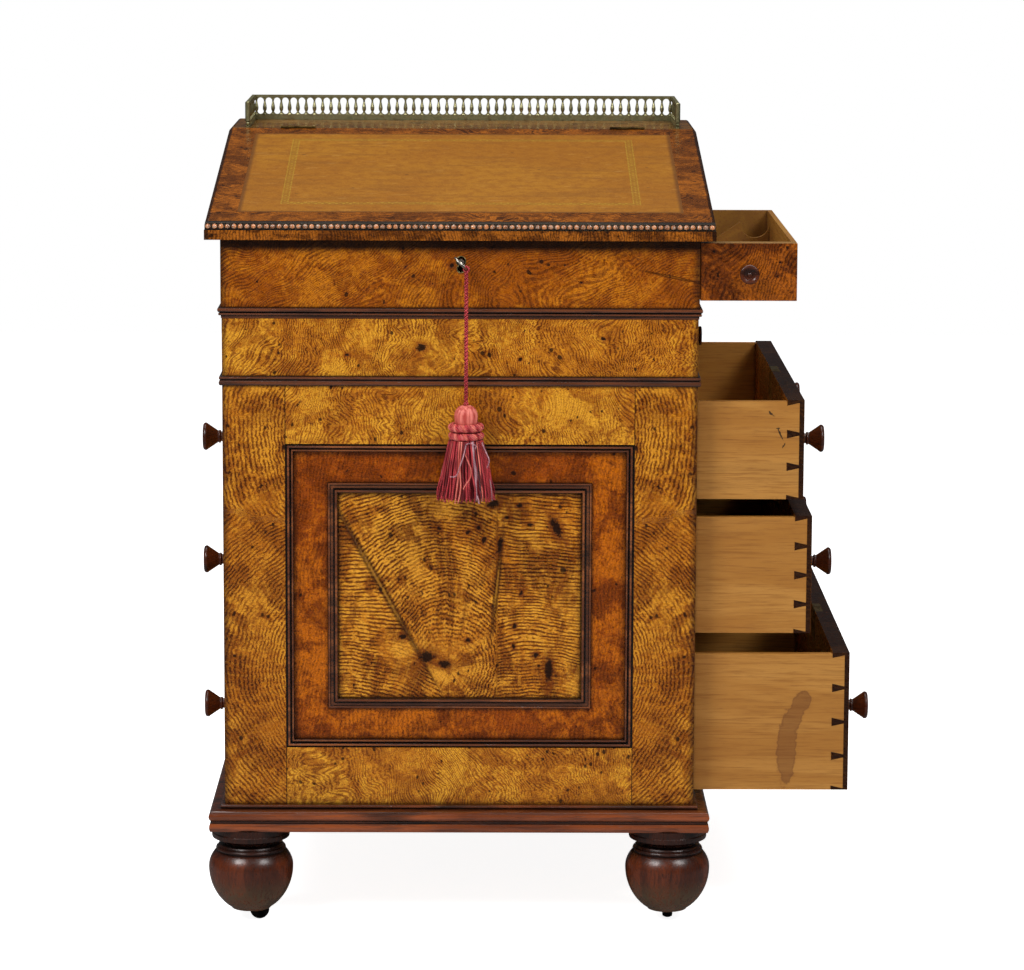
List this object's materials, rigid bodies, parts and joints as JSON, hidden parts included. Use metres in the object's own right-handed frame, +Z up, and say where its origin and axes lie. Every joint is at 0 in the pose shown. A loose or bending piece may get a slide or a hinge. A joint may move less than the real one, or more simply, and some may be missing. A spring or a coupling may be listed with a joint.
{
  "type": "davenport desk",
  "caption": "Davenport writing desk: box with sloped leather-lined lid sliding over a pedestal with side drawers, swing-out pen drawer, spindle gallery and bun feet on castors.",
  "frame": {"origin": "on the floor, under the middle of the pedestal's carcass", "axes": "+Z up, +Y to the back, +X to the drawer side, which is on the right of a person who sits at the desk"},
  "size_m": [0.732, 0.6485, 0.8622],
  "materials": {
    "pollard_oak": "waxed burr veneer",
    "dark_moulding": "waxed dark wood",
    "turned_rosewood": "polished turned wood",
    "pale_lining": "plain oiled lining wood",
    "carcass_pine": "plain sawn wood",
    "aged_brass": "aged brass",
    "tooled_leather": "polished hide with tooled border",
    "dark_iron": "dark iron",
    "key_steel": "worn steel",
    "silk_cord": "silk threads"
  },
  "bodies": {
    "base": {"plinth_moulding": "dark_moulding", "bottom_board": "carcass_pine", "bun_feet": "turned_rosewood", "front_frame": "pollard_oak", "front_panel": "pollard_oak", "panel_mouldings": "dark_moulding", "back_frame": "pollard_oak", "back_panel": "pollard_oak", "side_rails": "pollard_oak", "dummy_drawer_fronts": "pollard_oak", "dummy_knobs": "turned_rosewood", "drawer_runners": "carcass_pine", "middle_board": "carcass_pine", "frieze_boards": "pollard_oak", "base_mouldings": "dark_moulding", "base_top_board": "carcass_pine"},
    "drawer_top": {"drawer_top_front": "pollard_oak", "drawer_top_case": "pale_lining", "drawer_top_lock": "aged_brass", "drawer_top_knobs": "turned_rosewood"},
    "drawer_middle": {"drawer_middle_front": "pollard_oak", "drawer_middle_case": "pale_lining", "drawer_middle_lock": "aged_brass", "drawer_middle_knobs": "turned_rosewood"},
    "drawer_bottom": {"drawer_bottom_front": "pollard_oak", "drawer_bottom_case": "pale_lining", "drawer_bottom_lock": "aged_brass", "drawer_bottom_knobs": "turned_rosewood"},
    "brushing_slide": {"brushing_slide": "pollard_oak", "brushing_slide_knob": "turned_rosewood"},
    "writing_box": {"box_front": "pollard_oak", "box_sides": "pollard_oak", "box_back": "pollard_oak", "box_floor": "carcass_pine", "box_moulding": "dark_moulding", "gallery_shelf": "pollard_oak", "brass_gallery": "aged_brass", "box_lock": "aged_brass", "pen_drawer_housing": "pale_lining", "pen_drawer_carrier": "aged_brass", "hinge_leaves": "aged_brass"},
    "lid": {"lid_board": "pollard_oak", "lid_bead_moulding": "dark_moulding", "writing_leather": "tooled_leather", "lid_brass": "aged_brass"},
    "pen_drawer": {"pen_drawer_front": "pollard_oak", "pen_drawer_tray": "pale_lining", "pen_drawer_knob": "turned_rosewood"},
    "key": {"key": "key_steel"},
    "lock_bolt": {"lock_bolt": "key_steel"},
    "tassel": {"tassel_cord": "silk_cord", "tassel": "silk_cord"},
    "castor_fork_front_left": {"castor_fork_front_left": "dark_iron"},
    "castor_wheel_front_left": {"castor_wheel_front_left": "aged_brass"},
    "castor_fork_front_right": {"castor_fork_front_right": "dark_iron"},
    "castor_wheel_front_right": {"castor_wheel_front_right": "aged_brass"},
    "castor_fork_back_left": {"castor_fork_back_left": "dark_iron"},
    "castor_wheel_back_left": {"castor_wheel_back_left": "aged_brass"},
    "castor_fork_back_right": {"castor_fork_back_right": "dark_iron"},
    "castor_wheel_back_right": {"castor_wheel_back_right": "aged_brass"}
  },
  "joints": [
    {"name": "top_slide", "type": "slide", "parent": "base", "child": "writing_box", "axis": [0, -1, 0], "range_m": [0, 0.2]},
    {"name": "lid_hinge", "type": "hinge", "parent": "writing_box", "child": "lid", "pos_m": [0, 0.1315, 0.83373], "axis": [-1, 0, 0], "range_deg": [0, 90]},
    {"name": "pen_drawer_swing", "type": "hinge", "parent": "writing_box", "child": "pen_drawer", "pos_m": [0.2643, 0.1008, 0.68], "axis": [0, 0, 1], "range_deg": [0, 90]},
    {"name": "brushing_slide_pull", "type": "slide", "parent": "base", "child": "brushing_slide", "axis": [1, 0, 0], "range_m": [0, 0.25]},
    {"name": "drawer_top_pull", "type": "slide", "parent": "base", "child": "drawer_top", "axis": [1, 0, 0], "range_m": [-0.116, 0.204]},
    {"name": "drawer_middle_pull", "type": "slide", "parent": "base", "child": "drawer_middle", "axis": [1, 0, 0], "range_m": [-0.126, 0.194]},
    {"name": "drawer_bottom_pull", "type": "slide", "parent": "base", "child": "drawer_bottom", "axis": [1, 0, 0], "range_m": [-0.169, 0.151]},
    {"name": "key_turn", "type": "hinge", "parent": "writing_box", "child": "key", "pos_m": [0.0006, -0.308, 0.7222], "axis": [0, -1, 0], "range_deg": [-45.2, 45.2]},
    {"name": "bolt_throw", "type": "slide", "parent": "writing_box", "child": "lock_bolt", "axis": [0, 0, 1], "range_m": [-0.00352, 0.00352]},
    {"name": "tassel_hang", "type": "hinge", "parent": "key", "child": "tassel", "pos_m": [0.00647, -0.308, 0.71633], "axis": [0, -1, 0], "range_deg": [-45, 45]},
    {"name": "castor_swivel_front_left", "type": "hinge", "parent": "base", "child": "castor_fork_front_left", "pos_m": [-0.2265, -0.263, 0.03], "axis": [0, 0, 1], "continuous": true},
    {"name": "castor_roll_front_left", "type": "hinge", "parent": "castor_fork_front_left", "child": "castor_wheel_front_left", "pos_m": [-0.2175, -0.263, 0.0105], "axis": [0, 1, 0], "continuous": true},
    {"name": "castor_swivel_front_right", "type": "hinge", "parent": "base", "child": "castor_fork_front_right", "pos_m": [0.2265, -0.263, 0.03], "axis": [0, 0, 1], "continuous": true},
    {"name": "castor_roll_front_right", "type": "hinge", "parent": "castor_fork_front_right", "child": "castor_wheel_front_right", "pos_m": [0.22775, -0.25409, 0.0105], "axis": [-0.9903, 0.1392, 0], "continuous": true},
    {"name": "castor_swivel_back_left", "type": "hinge", "parent": "base", "child": "castor_fork_back_left", "pos_m": [-0.2265, 0.263, 0.03], "axis": [0, 0, 1], "continuous": true},
    {"name": "castor_roll_back_left", "type": "hinge", "parent": "castor_fork_back_left", "child": "castor_wheel_back_left", "pos_m": [-0.21834, 0.2668, 0.0105], "axis": [-0.4226, 0.9063, 0], "continuous": true},
    {"name": "castor_swivel_back_right", "type": "hinge", "parent": "base", "child": "castor_fork_back_right", "pos_m": [0.2265, 0.263, 0.03], "axis": [0, 0, 1], "continuous": true},
    {"name": "castor_roll_back_right", "type": "hinge", "parent": "castor_fork_back_right", "child": "castor_wheel_back_right", "pos_m": [0.22958, 0.27146, 0.0105], "axis": [-0.9397, 0.342, 0], "continuous": true}
  ],
  "couplings": [
    {"joint": "key_turn", "follows": "tassel_hang", "ratio": -1},
    {"joint": "bolt_throw", "follows": "tassel_hang", "m_per_rad": -0.0044563}
  ]
}
